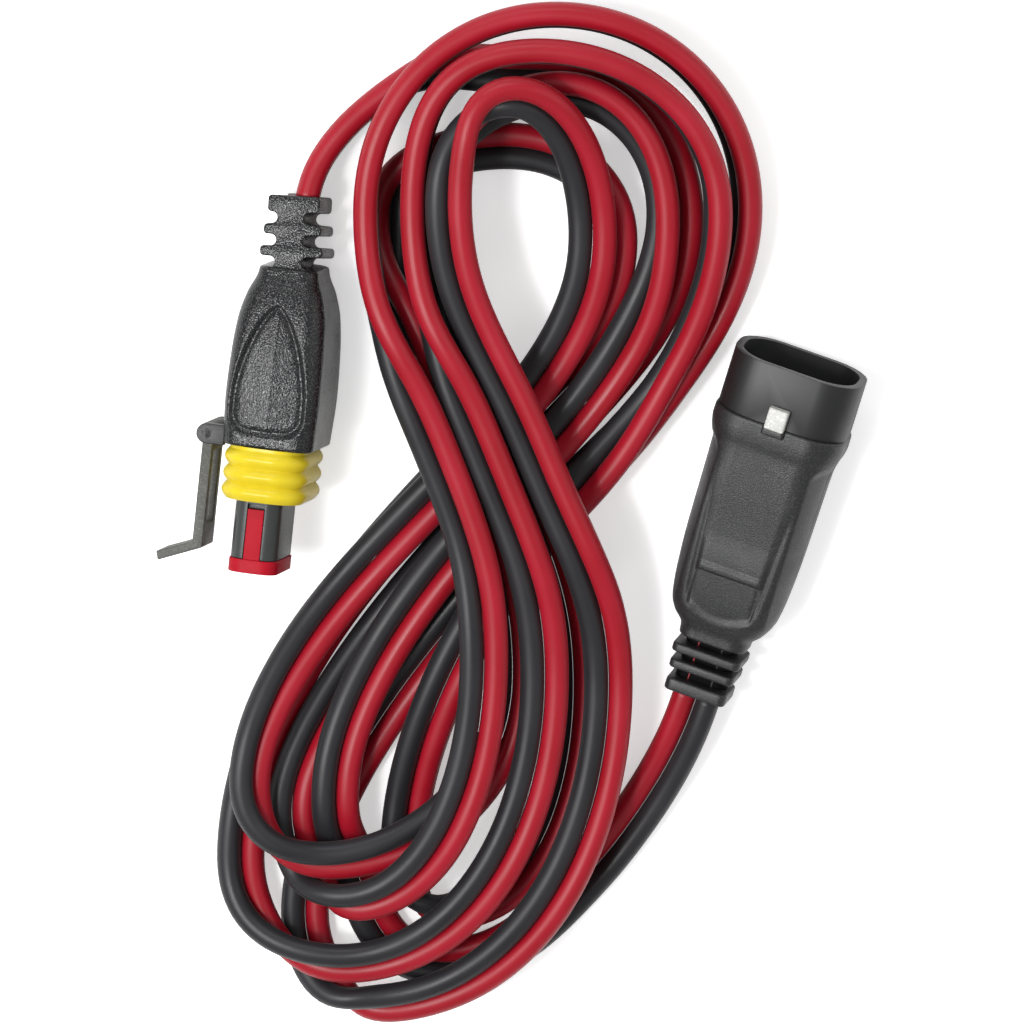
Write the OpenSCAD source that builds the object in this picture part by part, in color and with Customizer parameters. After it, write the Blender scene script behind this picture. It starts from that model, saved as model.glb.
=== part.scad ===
// Battery charger extension lead: a sealed two-pole plug and socket joined by two metres of twin cord,
// which lies wound in figures of eight. The origin is under the middle of the two connectors, on the floor.

/* [Cord] */
// Diameter of one insulated core
core_d = 3.8; // [3.2:0.1:3.8]
// Distance between the middles of the two cores
core_pitch = 3.84; // [3.84:0.02:3.9]
// Diameter of a core's bare strands
strand_d = 2.0; // [1.6:0.1:2.6]

/* [Plug] */
// Width of the moulded body across both poles
plug_w = 18.8; // [17:0.1:21]
// Thickness of the moulded body
plug_t = 15; // [13.6:0.1:16]
// Length of the moulded body, from its cord end to its front shoulder
plug_body_l = 39; // [36:0.5:44]
// Length of the housing's nose in front of the sealing ring
nose_l = 9.2; // [8:0.2:12]
// Width of the nose
nose_w = 14.4; // [13:0.1:15]
// Thickness of the nose
nose_t = 7.4; // [7:0.1:8.4]
// Length of the sealing ring's seat
seal_l = 8.4; // [7:0.2:11]
// Length of the latch arm from its pin to its foot
latch_l = 17.5; // [14.5:0.5:21]
// Length of the latch's foot
latch_foot_l = 6; // [4:0.5:8]

/* [Socket] */
// Outer width of the shroud
shroud_w = 21; // [20.6:0.1:24]
// Outer thickness of the shroud
shroud_t = 15; // [14.6:0.1:17]
// Wall of the shroud
shroud_wall = 1.2; // [1:0.05:1.4]
// Length of the shroud in front of the moulded body
shroud_l = 9.3; // [8:0.1:12]
// Depth of the mouth behind the shroud's rim
mouth_depth = 17; // [14:0.5:19]
// Length of the moulded body
socket_body_l = 47; // [44:0.5:52]

/* [Contacts] */
// Distance between the two contacts
contact_pitch = 6; // [5.4:0.1:6.4]
// Diameter of a contact pin
pin_d = 1.5; // [1.2:0.05:1.8]
// Length of a pin inside the mouth
pin_l = 11; // [8:0.5:13]

/* [Fits] */
// Running clearance of the lock plate and the latch pin, per side
run_gap = 0.08; // [0.04:0.01:0.1]
// Clearance of a seated part, per side
seat_gap = 0.03; // [0.01:0.01:0.05]

/* [Hidden] */

// Colours
moulded_black = [0.16, 0.16, 0.17];
housing_grey = [0.27, 0.29, 0.29];
latch_grey = [0.40, 0.40, 0.37];
seal_yellow = [0.98, 0.86, 0.10];
lock_red = [0.80, 0.10, 0.14];
core_red = [0.72, 0.12, 0.18];
core_black = [0.20, 0.20, 0.22];
copper = [0.80, 0.50, 0.30];
tin = [0.75, 0.75, 0.74];
catch_grey = [0.78, 0.78, 0.76];

// Moves everything so that the middle of the two connectors comes over the origin
middle = [0.22, -2.74, 0];
// How the connectors lie: the lean from the Y axis, the rise of the front and the roll about their length
plug_lean = -6;
plug_rise = 7;
plug_roll = 12;
socket_lean = -16.5;
socket_rise = 3;
socket_roll = -12;

contact_y = contact_pitch / 2;
core_y = core_pitch / 2;

// ---------------------------------------------------------------- outlines
// A rectangle with round corners, counter-clockwise, about its middle
function round_rect(w, t, r, n = 6) = [
    for (c = [[1, 1, 0], [-1, 1, 90], [-1, -1, 180], [1, -1, 270]], i = [0:n])
        [c[0] * (w / 2 - r) + r * cos(c[2] + 90 * i / n), c[1] * (t / 2 - r) + r * sin(c[2] + 90 * i / n)]
];

module slab(w, t, r, z0, z1) {
    translate([0, 0, z0]) linear_extrude(z1 - z0) polygon(round_rect(w, t, r));
}

module rod(d, z0, z1, at = [0, 0]) {
    translate([at[0], at[1], z0]) cylinder(d = d, h = z1 - z0, $fn = 48);
}

// ---------------------------------------------------------------- places
module at_plug() {
    translate(plug_exit + middle) rotate([0, 0, plug_lean]) rotate([90 - plug_rise, 0, 0])
        rotate([0, 0, plug_roll]) children();
}

module at_socket() {
    translate(socket_exit + middle) rotate([0, 0, 180 + socket_lean]) rotate([90 - socket_rise, 0, 0])
        rotate([0, 0, socket_roll]) children();
}

// ---------------------------------------------------------------- lengths along each connector
// Measured from the face where the cord leaves
plug_front = plug_body_l + seal_l;
plug_tip = plug_front + nose_l;
plug_rear_block = plug_body_l - 6;
seat_t = shroud_t - 2 * shroud_wall - 3;
seat_w = shroud_w - 2 * shroud_wall - 3.2;
lock_flange_t = 2.2;
wire_seal_l = 5;
wire_seal_d = 5.2;
contact_d = 3.2;
contact_l = 14.5;
socket_front = socket_body_l + shroud_l;
nose_gap = 0.3;
nose_stop = socket_front - mouth_depth - 3.3;
pin_root_d = pin_d + 0.5;
pin_plate_t = 1.6;
catch_w = 3;
catch_l = 2.6;
catch_z = socket_body_l + 0.1;
// Each core leaves its own line, bends out over bend_l and is straight from there to its contact
bend_l = 12;
plug_bend_end = plug_rear_block - 8;
socket_bend_end = nose_stop - 11;
latch_pin_d = 1.6;
latch_x = -plug_t / 2 - 1.9;
latch_z = plug_body_l - 1;
knuckle_d = 3.2;
knuckle_w = 8.4;
lug_w = 1.5;
arm_t = 1.6;
foot_lip = 0.4;
window_l = latch_l * 0.66;
stem_w = 2.6;
stem_t = 0.9;

// The collar of the socket's moulding
collar_w = shroud_w + 0.4;
collar_t = shroud_t + 1;
collar_r = 5.6;
plug_r = 3;
// The plug's moulding stands out further on the side away from the latch
plug_bulge = 0.7;
// Where the plug's moulding reaches its full width
plug_wide_from = 28;

// Height of the middle line of a rounded slab that lies on the floor, rolled off its flat side
function lying(w, t, r, roll) = (w / 2 - r) * abs(sin(roll)) + (t / 2 - r) * cos(roll) + r;
// Middle of each face where the cord leaves; the plug rests on its body and the socket on its collar
plug_exit = [-33.5, 42.9, lying(plug_t, plug_w, plug_r, plug_roll) - (plug_wide_from - 1) * sin(plug_rise)];
socket_exit = [29, -36.9, lying(collar_w, collar_t, collar_r, socket_roll) - (socket_body_l - 4) * sin(socket_rise)];

// One insulated core inside a moulding: along the cord, out to its contact, then straight in
module core_run(d, out, bend_end, length) {
    sliver = 0.02;
    bend_start = bend_end - bend_l;
    rod(d, 0, bend_start, core_y * out);
    hull() {
        rod(d, bend_start - sliver, bend_start, core_y * out);
        rod(d, bend_end, bend_end + sliver, contact_y * out);
    }
    rod(d, bend_end, length, contact_y * out);
}

// ---------------------------------------------------------------- plug
// Local X is the thickness, Y the width with the red core up, Z runs from the cord to the nose
module plug_overmould() {
    color(moulded_black) at_plug() difference() {
        union() {
            for (p = [[0, 1.6, 8.4, 10], [4, 5.2, 9, 10.2], [7.6, 8.8, 9.8, 10.4]])
                slab(p[2], p[3], 1.2, p[0], p[1]);
            slab(4.8, 8.8, 2.2, 1, 12);
            translate([plug_bulge, 0, 0]) hull() {
                slab(9.6, 12.4, 2.5, 10.9, 11.9);
                slab(plug_t - 1, plug_w - 1.8, plug_r, plug_wide_from - 9.4, plug_wide_from - 8.4);
                slab(plug_t, plug_w, plug_r, plug_wide_from, plug_body_l - 2);
                slab(plug_t - 0.8, plug_w - 0.8, plug_r, plug_body_l - 1, plug_body_l);
            }
            for (s = [-1, 1]) latch_lug(s);
        }
        slab(nose_t + 2 * seat_gap, nose_w + 2 * seat_gap, 2.4, plug_rear_block - seat_gap, plug_body_l + 1);
        for (s = [-1, 1]) difference() {
            core_run(core_d + 2 * seat_gap, [0, s], plug_bend_end, plug_rear_block + 1);
            translate([0, 0, -1]) cylinder(d = 40, h = 1, $fn = 24);
        }
        plug_pin_bore(latch_pin_d + 2 * seat_gap);
    }
}

// One ear that carries the latch's pin
module latch_lug(side) {
    y0 = knuckle_w / 2 + 0.2;
    translate([0, side * (y0 + lug_w / 2), 0]) rotate([90, 0, 0]) translate([0, 0, -lug_w / 2])
        linear_extrude(lug_w) union() {
            translate([latch_x, latch_z]) circle(d = knuckle_d, $fn = 48);
            translate([latch_x, latch_z - knuckle_d / 2]) square([plug_bulge + 0.35 - plug_t / 2 - latch_x, knuckle_d]);
        }
}

module plug_pin_bore(d) {
    translate([latch_x, 0, latch_z]) rotate([90, 0, 0])
        cylinder(d = d, h = knuckle_w + 2 * lug_w + 4, center = true, $fn = 48);
}

module plug_housing() {
    color(housing_grey) at_plug() difference() {
        union() {
            slab(nose_t, nose_w, 2.4, plug_rear_block, plug_body_l);
            slab(seat_t, seat_w, 3.2, plug_body_l, plug_front);
            slab(nose_t, nose_w, 2.4, plug_front, plug_tip);
        }
        for (s = [-1, 1]) {
            rod(wire_seal_d + 2 * seat_gap, plug_rear_block - 1, plug_body_l + 1.5, [0, s * contact_y]);
            rod(contact_d + 2 * seat_gap, plug_body_l, plug_tip + 1, [0, s * contact_y]);
            translate([0, s * (nose_w / 2 - stem_t / 2 + 0.5), plug_tip - nose_l / 2 + 0.5])
                cube([stem_w + 2 * run_gap, stem_t + 2 * run_gap + 1, nose_l], center = true);
        }
    }
}

// Sealing ring with three ribs
module plug_seal() {
    rib_pitch = seal_l / 3;
    color(seal_yellow) at_plug() difference() {
        union() {
            slab(shroud_t - 2 * shroud_wall - 1.1, shroud_w - 2 * shroud_wall - 1.3, 4, plug_body_l, plug_front);
            for (i = [0:2]) slab(shroud_t - 2 * shroud_wall + 0.2, shroud_w - 2 * shroud_wall - 0.2, 4.6,
                plug_body_l + rib_pitch * (i + 0.2), plug_body_l + rib_pitch * (i + 0.8));
        }
        slab(seat_t + 2 * seat_gap, seat_w + 2 * seat_gap, 3.2, plug_body_l - 1, plug_front + 1);
    }
}

// Red plate over the nose, which slides forward to free the contacts
module plug_lock_plate() {
    color(lock_red) at_plug() difference() {
        union() {
            slab(nose_t + 0.4, nose_w + 0.4, 2.6, plug_tip + run_gap, plug_tip + lock_flange_t);
            for (s = [-1, 1])
                translate([0, s * (nose_w / 2 - stem_t / 2), plug_tip + 1 - (nose_l - 0.4) / 2])
                    cube([stem_w, stem_t, nose_l - 0.4 + 2 * run_gap], center = true);
        }
        for (s = [-1, 1]) rod(pin_d + 0.8, plug_tip - 1, plug_tip + lock_flange_t + 1, [0, s * contact_y]);
    }
}

// Latch arm with a window that hooks over the socket's catch
module plug_latch() {
    arm_end = latch_z + latch_l;
    color(latch_grey) at_plug() difference() {
        union() {
            translate([latch_x, 0, latch_z]) rotate([90, 0, 0])
                cylinder(d = knuckle_d, h = knuckle_w, center = true, $fn = 48);
            translate([latch_x - arm_t / 2, -knuckle_w / 2, latch_z]) cube([arm_t, knuckle_w, latch_l]);
            translate([latch_x, knuckle_w / 2, arm_end]) rotate([90, 0, 0]) linear_extrude(knuckle_w)
                polygon([[-arm_t / 2, -1.2], [arm_t / 2, -1.2], [arm_t / 2, 0.6],
                    [-latch_foot_l, 3.4], [-latch_foot_l - foot_lip, 2], [-arm_t / 2, -0.2]]);
        }
        translate([latch_x, 0, latch_z + 3 + window_l / 2]) cube([arm_t + 1, 5, window_l], center = true);
        plug_pin_bore(latch_pin_d + 2 * run_gap);
    }
}

module plug_latch_pin() {
    color(tin) at_plug() translate([latch_x, 0, latch_z]) rotate([90, 0, 0])
        cylinder(d = latch_pin_d, h = knuckle_w + 2 * lug_w + 0.4, center = true, $fn = 48);
}

module plug_receptacle(side) {
    tip = plug_tip - 0.4;
    color(tin) at_plug() difference() {
        rod(contact_d, tip - contact_l, tip, [0, side * contact_y]);
        rod(pin_d + 0.04, tip - 10, tip + 1, [0, side * contact_y]);
        rod(strand_d + 2 * seat_gap, tip - contact_l - 1, tip - contact_l + 3, [0, side * contact_y]);
    }
}

module wire_seal(from, at) {
    color(seal_yellow) difference() {
        rod(wire_seal_d, from, from + wire_seal_l, at);
        rod(core_d + 2 * seat_gap, from - 1, from + wire_seal_l + 1, at);
    }
}

module plug_wire_seal(side) {
    at_plug() wire_seal(plug_rear_block + 0.4, [0, side * contact_y]);
}

module plug_strands(side) {
    core_end = plug_body_l + 1;
    color(copper) at_plug()
        rod(strand_d, core_end, plug_tip - 0.4 - contact_l + 3, [0, side * contact_y]);
}

module plug_core(side, colour) {
    color(colour) at_plug() core_run(core_d, [0, side], plug_bend_end, plug_body_l + 1);
}

// ---------------------------------------------------------------- socket
// Local X is the width with the red core at plus, Y points up, Z runs from the cord to the mouth
module socket_overmould() {
    color(moulded_black) at_socket() difference() {
        union() {
            for (p = [[0, 2, 10, 9.2], [3.7, 5.1, 10.6, 9.2], [6.4, 7.8, 11.2, 9.2]])
                slab(p[2], p[3], 1.2, p[0], p[1]);
            slab(9, 5.2, 2.2, 1, 10);
            hull() {
                slab(11.2, 9, 3, 9, 10);
                slab(collar_w - 4.5, collar_t - 4.4, 4, 14.6, 15.6);
                slab(collar_w - 2.4, collar_t - 2.8, 4.6, 22, 24);
                slab(collar_w, collar_t, collar_r, socket_body_l - 4, socket_body_l - 0.6);
                slab(shroud_w - 0.2, shroud_t + 0.4, 5.4, socket_body_l - 0.1, socket_body_l);
            }
        }
        socket_block(seat_gap, 1);
        for (s = [-1, 1]) difference() {
            core_run(core_d + 2 * seat_gap, [s, 0], socket_bend_end, nose_stop - 8);
            translate([0, 0, -1]) cylinder(d = 40, h = 1, $fn = 24);
        }
    }
}

// Housing behind the shroud: round the plug's nose, then round the two contacts
module socket_block(gap, extra) {
    slab(nose_w + 2.6 + 2 * gap, nose_t + 2.8 + 2 * gap, 3.4, nose_stop - 1.5 - gap, socket_body_l + extra);
    slab(contact_pitch + 7 + 2 * gap, 8 + 2 * gap, 3, nose_stop - 10 - gap, nose_stop);
}

module socket_housing() {
    color(moulded_black) at_socket() difference() {
        union() {
            slab(shroud_w, shroud_t, 6, socket_body_l, socket_front);
            socket_block(0, 0.5);
        }
        slab(shroud_w - 2 * shroud_wall, shroud_t - 2 * shroud_wall, 5, socket_body_l + 1.2, socket_front + 1);
        slab(nose_w + 2 * nose_gap, nose_t + 2 * nose_gap, 2.6, nose_stop, socket_body_l + 2);
        for (s = [-1, 1]) {
            rod(pin_root_d + 2 * seat_gap, nose_stop - 4, nose_stop + 1, [s * contact_y, 0]);
            rod(contact_d + 2 * seat_gap, nose_stop - 6, nose_stop - 1.2, [s * contact_y, 0]);
            rod(wire_seal_d + 2 * seat_gap, nose_stop - 11, nose_stop - 4.4, [s * contact_y, 0]);
        }
        translate([0, shroud_t / 2, catch_z + catch_l / 2])
            cube([catch_w + 2 * seat_gap, 0.8 + 2 * seat_gap, catch_l + 2 * seat_gap], center = true);
    }
}

// Ramp that the plug's latch hooks over
module socket_catch() {
    color(catch_grey) at_socket() translate([-catch_w / 2, shroud_t / 2 - 0.4, catch_z])
        rotate([90, 0, 90]) linear_extrude(catch_w)
            polygon([[0, 0], [1.7, 0], [1.7, catch_l / 3], [1, catch_l], [0, catch_l]]);
}

module socket_lock_plate() {
    color(lock_red) at_socket() difference() {
        slab(nose_w, nose_t, 2.4, nose_stop + 0.02, nose_stop + pin_plate_t);
        for (s = [-1, 1]) rod(pin_root_d + 2 * run_gap, nose_stop - 1, nose_stop + 3, [s * contact_y, 0]);
    }
}

module socket_pin(side) {
    color(tin) at_socket() difference() {
        union() {
            rod(pin_d, nose_stop, nose_stop + pin_l, [side * contact_y, 0]);
            rod(pin_root_d, nose_stop - 2, nose_stop + pin_plate_t, [side * contact_y, 0]);
            rod(contact_d, nose_stop - 5.6, nose_stop - 1.2, [side * contact_y, 0]);
        }
        rod(strand_d + 2 * seat_gap, nose_stop - 7, nose_stop - 3, [side * contact_y, 0]);
    }
}

module socket_wire_seal(side) {
    at_socket() wire_seal(nose_stop - 9.8, [side * contact_y, 0]);
}

module socket_strands(side) {
    color(copper) at_socket() rod(strand_d, nose_stop - 6.6, nose_stop - 3.1, [side * contact_y, 0]);
}

module socket_core(side, colour) {
    color(colour) at_socket() core_run(core_d, [side, 0], socket_bend_end, nose_stop - 6.6);
}

// ---------------------------------------------------------------- cord
// Each turn of the hank is a figure of eight that passes eight stations: 0 over the waist, 1 left of the top
// lobe, 2 its top, 3 its right, 4 under the waist, 5 left of the bottom lobe, 6 its bottom, 7 its right.
// A station is [x, y, height of the middle between the cores, roll]; at roll 0 red lies right of the travel,
// at 90 it lies on top. The roll grows by a full turn in each figure of eight.
HEADING = [111, 90, 0, -90, 227, -90, 0, 90];
TURNS = [
    [[], [], [4, 62, 1.9, 180], [26.5, 39, 3.2, 140],
        [1, -2.5, 1.9, 180], [-35, -55.5, 7, 190], [-26.5, -70, 12.4, 325], [-4.5, -29.5, 15.8, 355]],
    [[-12, 4, 15, 25], [-23, 42, 10.5, 80], [6.5, 72, 7.6, 107], [36.5, 41, 5, 107],
        [7, -8, 1.9, 180], [-33, -74.5, 1.9, 190], [-22.5, -88, 6.2, 325], [15, -34.5, 11, 355]],
    [[3.5, 4, 15, 25], [-9, 44.5, 15.8, 20], [-0.5, 60.5, 14.8, 150], [12.5, 36.5, 8.8, 170],
        [-5, 2.5, 6.2, 180], [-41.5, -50.5, 13, 225], [-30, -63, 12.2, 320], [0, -34, 10.1, 360]],
    [[-9, 3, 10.6, 0], [-19.5, 40.5, 2.3, 170], [-0.5, 50, 2.3, 170], [16.5, 36, 3.4, 130],
        [-5, 2.5, 1.9, 180], [-43, -65.5, 5, 195], [-27, -80.5, 9.6, 325], [5, -33, 13.2, 355]],
    [[-4.5, 4, 15, 25], [-15.5, 42.5, 11.6, 105], [4, 67, 11.2, 105], [32, 41.5, 10, 107],
        [7, -8, 6.2, 180], [-17.3, -64, 1.9, 200], [-10.5, -74, 1.9, 325], [9.5, -36.5, 6, 360]],
    [[-0.5, 3, 10.6, 0], [-11.5, 42, 8.4, 90], [7.5, 60, 8.2, 150], [23.5, 40, 7.6, 110],
        [1, -2.5, 6.2, 180], [-28, -52.5, 8.8, 195], [], []]
];
// How far each turn keeps straight above the left of its bottom lobe, as a share of the run
LOW_HOLD = [0.18, 0.26, 0.26, 0.34, 0.26, 0.26];
// Share of the quarter below that station which passes before the pair rolls; the first turn climbs with it
ROLL_WAIT = [0.45, 0.45, 0, 0, 0, 0];

// The free stretches: [x, y, height, roll], chosen along the cord from the plug and to the socket
PLUG_TAIL = [
    [-32.2, 50.2, 5.9, 102], [-29.8, 53.6, 5, 103], [-26, 56.8, 4.2, 107], [-21.3, 59.6, 3.6, 120],
    [-16, 62, 2.4, 160], [-10, 62.9, 1.9, 178], [-4, 62, 1.9, 180]
];
SOCKET_TAIL = [
    [-26.6, -61.5, 6.1, 1990], [-24.4, -67, 3.3, 1984], [-22.2, -75, 1.9, 1980], [-18, -80.5, 1.9, 1980],
    [-11.5, -82.5, 1.9, 1980], [-3.5, -81, 1.9, 1980], [3, -77, 1.9, 1980], [9, -71, 1.9, 1980],
    [15.5, -63.5, 1.9, 1980], [21.5, -54.5, 2.8, 1984], [25.4, -46.9, 4.8, 1990]
];

cord_r = core_d / 2;
oval = 0.56;
ramp = 0.62;
rings_a_quarter = 6;

function smooth(t) = let (u = min(max(t, 0), 1)) u * u * (3 - 2 * u);
function bezier(a, b, c, d, t) =
    pow(1 - t, 3) * a + 3 * pow(1 - t, 2) * t * b + 3 * (1 - t) * t * t * c + t * t * t * d;
function along(angle) = [cos(angle), sin(angle)];

// Height at which the lower core just clears the floor
function floor_height(roll) = cord_r + core_y * abs(sin(roll));
function grounded(p) = [p[0], p[1], max(p[2], floor_height(p[3])), p[3]];

// Every station in order: [x, y, height, roll, heading, turn, station]
STATIONS = [
    for (k = [0:len(TURNS) - 1], s = [0:7]) if (len(TURNS[k][s]) > 0)
        let (p = TURNS[k][s]) [p[0], p[1], p[2], p[3] + 360 * k, HEADING[s], k, s]
];

// A point on the way from station a to station b
function on_lobe(a, b, t) =
    let (
        quarter = (a[6] % 4 == 1 || a[6] % 4 == 2),
        gap = [abs(b[0] - a[0]), abs(b[1] - a[1])],
        reach = norm(gap),
        lead = quarter ? oval * (a[6] % 2 == 1 ? gap[1] : gap[0])
            : a[6] == 3 ? 0.34 * reach : a[6] == 4 ? 0.36 * reach : 0.42 * reach,
        tail = quarter ? oval * (b[6] % 2 == 1 ? gap[1] : gap[0])
            : a[6] == 3 ? 0.36 * reach : a[6] == 4 ? LOW_HOLD[b[5]] * reach : 0.42 * reach,
        p = [a[0], a[1]], q = [b[0], b[1]],
        xy = bezier(p, p + lead * along(a[4]), q - tail * along(b[4]), q, t),
        wait = a[6] == 5 ? ROLL_WAIT[a[5]] : 0,
        rise = a[6] % 4 == 0 ? smooth((t - 1 + ramp) / ramp)
            : (b[6] % 4 == 0 || a[6] == 6) ? smooth(t / ramp) : smooth(t),
        turn = wait > 0 ? smooth((t - wait) / (1 - wait)) : rise
    ) grounded([xy[0], xy[1], a[2] + (b[2] - a[2]) * (a[5] == 0 ? turn : rise), a[3] + (b[3] - a[3]) * turn]);

// The hank's middle line, n points a quarter, with a straight diameter at each end
function hank_line(n) =
    let (first = STATIONS[0], last = STATIONS[len(STATIONS) - 1])
    concat(
        [grounded([first[0] - core_d, first[1], first[2], first[3]])],
        [for (i = [0:len(STATIONS) - 2], j = [0:n - 1]) on_lobe(STATIONS[i], STATIONS[i + 1], j / n)],
        [grounded(last), grounded([last[0], last[1] - core_d, last[2], last[3]])]
    );

// Points of a smooth curve through a list, n a step
function spline(p, n) =
    let (m = len(p), q = concat([2 * p[0] - p[1]], p, [2 * p[m - 1] - p[m - 2]]))
    concat([for (i = [1:m - 1], j = [0:n - 1])
        let (t = j / n, a = q[i - 1], b = q[i], c = q[i + 1], d = q[i + 2])
        grounded(0.5 * (2 * b + (c - a) * t + (2 * a - 5 * b + 4 * c - d) * t * t
            + (3 * b - a - 3 * c + d) * t * t * t))], [p[m - 1]]);

function unit(v) = v / norm(v);
plug_out = [-sin(plug_lean) * cos(plug_rise), cos(plug_lean) * cos(plug_rise), -sin(plug_rise)];
socket_out = [sin(socket_lean) * cos(socket_rise), -cos(socket_lean) * cos(socket_rise), -sin(socket_rise)];
// Rolls of the pair where it enters the two mouldings
plug_end_roll = 90 + plug_roll;
socket_end_roll = 5 * 360 + 180 - socket_roll;

function with_roll(p, roll) = [p[0], p[1], p[2], roll];
function hank_end(further) = hank_line(1)[len(hank_line(1)) - 1] - [0, further, 0, 0];
PLUG_LINE = concat(
    [with_roll(plug_exit, plug_end_roll)],
    spline(concat(
        [with_roll(plug_exit + core_d * plug_out, plug_end_roll)], PLUG_TAIL,
        [hank_line(1)[0]]), 1));
SOCKET_LINE = concat(
    [hank_end(0)],
    spline(concat(
        [hank_end(core_d / 3)], SOCKET_TAIL,
        [with_roll(socket_exit + core_d * socket_out, socket_end_roll)]), 2),
    [with_roll(socket_exit, socket_end_roll)]);

// Middle points of one core beside a pair's line; side 1 is red and -1 black
function travel(line, i) =
    let (m = len(line) - 1, a = line[max(i - 1, 0)], b = line[min(i + 1, m)])
    unit([b[0] - a[0], b[1] - a[1], b[2] - a[2]]);
function across(t, roll) =
    let (right = unit([t[1], -t[0], 0]), up = cross(right, t)) cos(roll) * right + sin(roll) * up;
function core_line(line, side) = [
    for (i = [0:len(line) - 1])
        let (t = travel(line, i), d = across(t, line[i][3]))
        [[line[i][0], line[i][1], line[i][2]] + side * core_y * d, t, d]
];

// A tube round the points of one core, closed at both ends; its faces are triangles
module tube(core, sides) {
    turn = 180 / sides;
    rings = len(core);
    points = [for (c = core, s = [0:sides - 1])
        let (up = cross(c[1], c[2]))
        middle + c[0] + cord_r * (cos(turn + 360 * s / sides) * c[2] + sin(turn + 360 * s / sides) * up)];
    walls = [for (i = [0:rings - 2], s = [0:sides - 1])
        let (a = i * sides + s, b = i * sides + (s + 1) % sides, c = a + sides, d = b + sides)
        each [[a, b, c], [b, d, c]]];
    caps = [for (s = [1:sides - 2]) each [
        [0, s + 1, s],
        [(rings - 1) * sides, (rings - 1) * sides + s, (rings - 1) * sides + s + 1]]];
    polyhedron(points = points, faces = [for (f = concat(walls, caps)) [f[0], f[2], f[1]]], convexity = 20);
}

module hank(side, colour) {
    color(colour) tube(core_line(hank_line(rings_a_quarter), side), 6);
}

module tail(line, side, colour) {
    color(colour) tube(core_line(line, side), 8);
}

// Least gap of one core to itself, measured between points of its middle line that lie well apart along it
function least_gap(side) =
    let (c = [for (p = core_line(hank_line(10), side)) p[0]], skip = 7)
    min([for (i = [0:len(c) - 1 - skip], j = [i + skip:len(c) - 1]) norm(c[i] - c[j])]) - core_d;

echo(least_gap_red = least_gap(1), least_gap_black = least_gap(-1));
plug_overmould();
plug_housing();
plug_seal();
plug_lock_plate();
plug_latch();
plug_latch_pin();
plug_receptacle(1);  // plug_receptacle_red
plug_receptacle(-1);  // plug_receptacle_black
plug_wire_seal(1);  // plug_wire_seal_red
plug_wire_seal(-1);  // plug_wire_seal_black
plug_strands(1);  // plug_strands_red
plug_strands(-1);  // plug_strands_black
plug_core(1, core_red);  // plug_core_red
plug_core(-1, core_black);  // plug_core_black
socket_overmould();
socket_housing();
socket_catch();
socket_lock_plate();
socket_pin(1);  // socket_pin_red
socket_pin(-1);  // socket_pin_black
socket_wire_seal(1);  // socket_wire_seal_red
socket_wire_seal(-1);  // socket_wire_seal_black
socket_strands(1);  // socket_strands_red
socket_strands(-1);  // socket_strands_black
socket_core(1, core_red);  // socket_core_red
socket_core(-1, core_black);  // socket_core_black
tail(PLUG_LINE, 1, core_red);  // plug_tail_red
tail(PLUG_LINE, -1, core_black);  // plug_tail_black
hank(1, core_red);  // hank_red
hank(-1, core_black);  // hank_black
tail(SOCKET_LINE, 1, core_red);  // socket_tail_red
tail(SOCKET_LINE, -1, core_black);  // socket_tail_black
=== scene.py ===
"""Looks of a battery charger extension lead: a sealed two-pole plug and socket on two metres of twin cord.

Every shape is worked out in millimetres in the part's own frame and scaled to metres when its mesh is made.
The plug and the socket are each modelled about their own length: local Z runs from the cord to the front.
"""

import math
from collections import namedtuple

import bmesh
import bpy
import numpy as np
from mathutils import Matrix, Vector


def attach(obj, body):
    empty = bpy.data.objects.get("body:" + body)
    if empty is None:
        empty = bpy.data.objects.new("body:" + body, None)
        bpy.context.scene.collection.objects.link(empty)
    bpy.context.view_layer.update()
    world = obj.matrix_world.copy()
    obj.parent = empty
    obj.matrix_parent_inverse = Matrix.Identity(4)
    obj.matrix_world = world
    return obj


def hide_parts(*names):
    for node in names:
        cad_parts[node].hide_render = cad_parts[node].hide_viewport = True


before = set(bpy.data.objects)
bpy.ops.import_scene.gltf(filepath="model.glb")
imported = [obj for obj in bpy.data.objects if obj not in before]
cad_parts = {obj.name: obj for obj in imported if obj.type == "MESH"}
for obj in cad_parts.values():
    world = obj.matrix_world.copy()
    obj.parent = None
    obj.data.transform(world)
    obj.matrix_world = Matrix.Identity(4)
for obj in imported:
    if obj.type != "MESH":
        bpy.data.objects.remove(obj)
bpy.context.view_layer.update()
MM = 0.001

# ---------------------------------------------------------------- sizes shared with the part, in millimetres
CORE_D = 3.8
CORE_PITCH = 3.84
MIDDLE = (0.22, -2.74, 0.0)
PLUG_LEAN, PLUG_RISE, PLUG_ROLL = -6.0, 7.0, 12.0
SOCKET_LEAN, SOCKET_RISE, SOCKET_ROLL = -16.5, 3.0, -12.0
PLUG_W, PLUG_T, PLUG_R = 18.8, 15.0, 3.0
PLUG_BODY_L, SEAL_L = 39.0, 8.4
PLUG_BULGE = 0.7
KNUCKLE_W, KNUCKLE_D = 8.4, 3.2
SHROUD_W, SHROUD_T, SHROUD_WALL = 21.0, 15.0, 1.2
SOCKET_BODY_L = 47.0
COLLAR_W, COLLAR_T, COLLAR_R = SHROUD_W + 0.4, SHROUD_T + 1.0, 5.6
LATCH_X, LATCH_Z = -PLUG_T / 2 - 1.9, PLUG_BODY_L - 1.0


def sin_deg(a):
    return math.sin(math.radians(a))


def cos_deg(a):
    return math.cos(math.radians(a))


def lying(w, t, r, roll):
    """Height of the middle line of a rounded slab that lies on the floor, rolled off its flat side."""
    return (w / 2 - r) * abs(sin_deg(roll)) + (t / 2 - r) * cos_deg(roll) + r


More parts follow.
